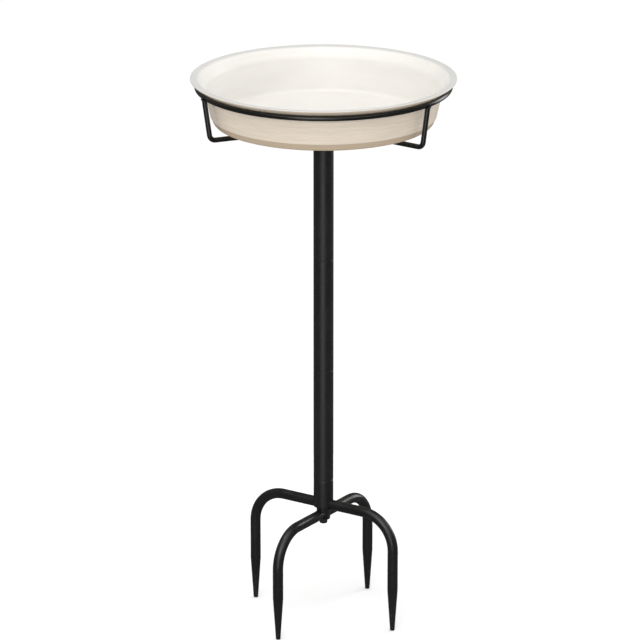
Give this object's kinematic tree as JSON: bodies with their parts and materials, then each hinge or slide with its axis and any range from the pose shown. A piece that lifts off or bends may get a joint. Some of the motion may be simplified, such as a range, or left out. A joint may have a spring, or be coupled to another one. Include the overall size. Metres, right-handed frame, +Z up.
{
  "type": "bird feeder tray on pole",
  "caption": "Round cream tray feeder or bird bath in a black wire hoop on a sectional steel pole, standing on crossed U-shaped ground forks with tapered prongs.",
  "frame": {"origin": "on the pole's axis, in the plane of the four prong tips", "axes": "+Z up along the pole, -Y to the front with one bracket at the right front, +X to the right"},
  "size_m": [0.3, 0.3, 0.6474],
  "materials": {
    "bowl_plastic": "matt moulded plastic, cream outside and off-white inside",
    "holder_paint": "satin black powder coat",
    "pole_paint": "satin black powder coat",
    "base_paint": "satin black powder coat",
    "zinc_steel": "zinc plated"
  },
  "bodies": {
    "base": {"base_socket": "base_paint", "socket_top_nut": "zinc_steel", "socket_foot_plug": "zinc_steel", "upper_fork": "base_paint", "fork_washer": "base_paint", "fork_nut": "base_paint", "fork_stud": "zinc_steel"},
    "lower_fork": {"lower_fork": "base_paint", "fork_saddle": "base_paint"},
    "lower_section": {"lower_tube": "pole_paint", "lower_top_nut": "zinc_steel", "lower_stud_plug": "zinc_steel"},
    "middle_section": {"middle_tube": "pole_paint", "middle_top_nut": "zinc_steel", "middle_stud_plug": "zinc_steel"},
    "upper_section": {"upper_tube": "pole_paint", "upper_top_nut": "zinc_steel", "upper_stud_plug": "zinc_steel"},
    "holder_stud": {"holder_stud": "zinc_steel"},
    "bowl_holder": {"hoop": "holder_paint", "bracket_right": "holder_paint", "bracket_rear": "holder_paint", "bracket_left": "holder_paint", "hoop_welds": "holder_paint", "boss_welds": "holder_paint", "holder_boss": "holder_paint"},
    "bowl": {"bowl": "bowl_plastic"}
  },
  "joints": [
    {"name": "fork_swivel", "type": "hinge", "parent": "base", "child": "lower_fork", "pos_m": [0, 0, 0.1249], "axis": [0, 0, 1], "range_deg": [-80, 80]},
    {"name": "lower_section_lift", "type": "slide", "parent": "base", "child": "lower_section", "axis": [0, 0, 1], "range_m": [0, 0.03]},
    {"name": "middle_section_lift", "type": "slide", "parent": "lower_section", "child": "middle_section", "axis": [0, 0, 1], "range_m": [0, 0.03]},
    {"name": "upper_section_lift", "type": "slide", "parent": "middle_section", "child": "upper_section", "axis": [0, 0, 1], "range_m": [0, 0.03]},
    {"name": "holder_stud_lift", "type": "slide", "parent": "upper_section", "child": "holder_stud", "axis": [0, 0, 1], "range_m": [0, 0.03]},
    {"name": "holder_turn", "type": "hinge", "parent": "holder_stud", "child": "bowl_holder", "pos_m": [0, 0, 0.5669], "axis": [0, 0, 1], "continuous": true},
    {"name": "bowl_lift", "type": "slide", "parent": "bowl_holder", "child": "bowl", "axis": [0, 0, 1], "range_m": [0, 0.1]}
  ]
}
